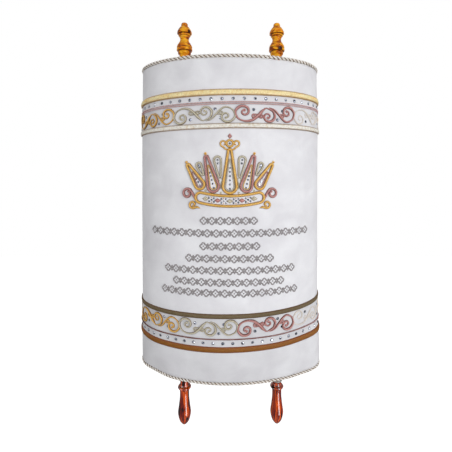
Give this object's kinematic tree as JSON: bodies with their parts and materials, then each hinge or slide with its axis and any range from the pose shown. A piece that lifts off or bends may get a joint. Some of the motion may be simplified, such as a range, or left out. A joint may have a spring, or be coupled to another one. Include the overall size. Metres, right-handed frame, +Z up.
{
  "type": "torah mantle on its two scroll rollers",
  "caption": "White velvet oval mantle with embroidered bands and a raised crown, open at the hem, hanging on two turned wooden scroll rollers.",
  "frame": {"origin": "underside of the mantle's top panel, at the middle of its oval, where it sits on the rollers' upper discs", "axes": "+Z up towards the finials, +X to the right seen from the front, front towards -Y"},
  "size_m": [0.3746, 0.2553, 0.8595],
  "materials": {
    "velvet": "white velvet, short pile",
    "rope": "cream and taupe twisted cord",
    "gold_braid": "metallic gold braid",
    "champagne_braid": "metallic pale champagne braid",
    "olive_braid": "dull olive gold braid",
    "bronze_braid": "bronze braid",
    "rose_thread": "rose embroidery thread",
    "gold_thread": "gold embroidery thread",
    "champagne_thread": "pale champagne embroidery thread",
    "grey_thread": "silver-grey thread",
    "stones": "faceted clear stones",
    "honey_wood": "varnished, turned",
    "red_wood": "high gloss, turned",
    "plain_wood": "satin",
    "grey_hub": "satin grey"
  },
  "bodies": {
    "root": {"crown_band": "gold_thread", "crown_drop_inner_left": "champagne_thread", "crown_drop_inner_right": "champagne_thread", "crown_drop_outer_left": "champagne_thread", "crown_drop_outer_right": "champagne_thread", "crown_lozenge_1": "champagne_thread", "crown_lozenge_2": "rose_thread", "crown_lozenge_3": "champagne_thread", "crown_lozenge_4": "rose_thread", "crown_lozenge_5": "champagne_thread", "crown_orb": "gold_thread", "crown_point_center": "gold_thread", "crown_point_inner_left": "rose_thread", "crown_point_inner_right": "rose_thread", "crown_point_outer_left": "gold_thread", "crown_point_outer_right": "gold_thread", "crown_tip": "rose_thread", "finial_left": "honey_wood", "finial_right": "honey_wood", "handle_left": "red_wood", "handle_right": "red_wood", "hem_rope": "rope", "hub_left": "grey_hub", "hub_right": "grey_hub", "lower_bronze_braid": "bronze_braid", "lower_disc_left": "plain_wood", "lower_disc_right": "plain_wood", "lower_olive_braid": "olive_braid", "lower_rose_cord": "rose_thread", "mantle_wall": "velvet", "pole_left": "plain_wood", "pole_right": "plain_wood", "top_panel": "velvet", "top_rope": "rope", "upper_champagne_braid": "champagne_braid", "upper_disc_left": "plain_wood", "upper_disc_right": "plain_wood", "upper_gold_braid": "gold_braid", "upper_rose_cord": "rose_thread"}
  },
  "joints": []
}
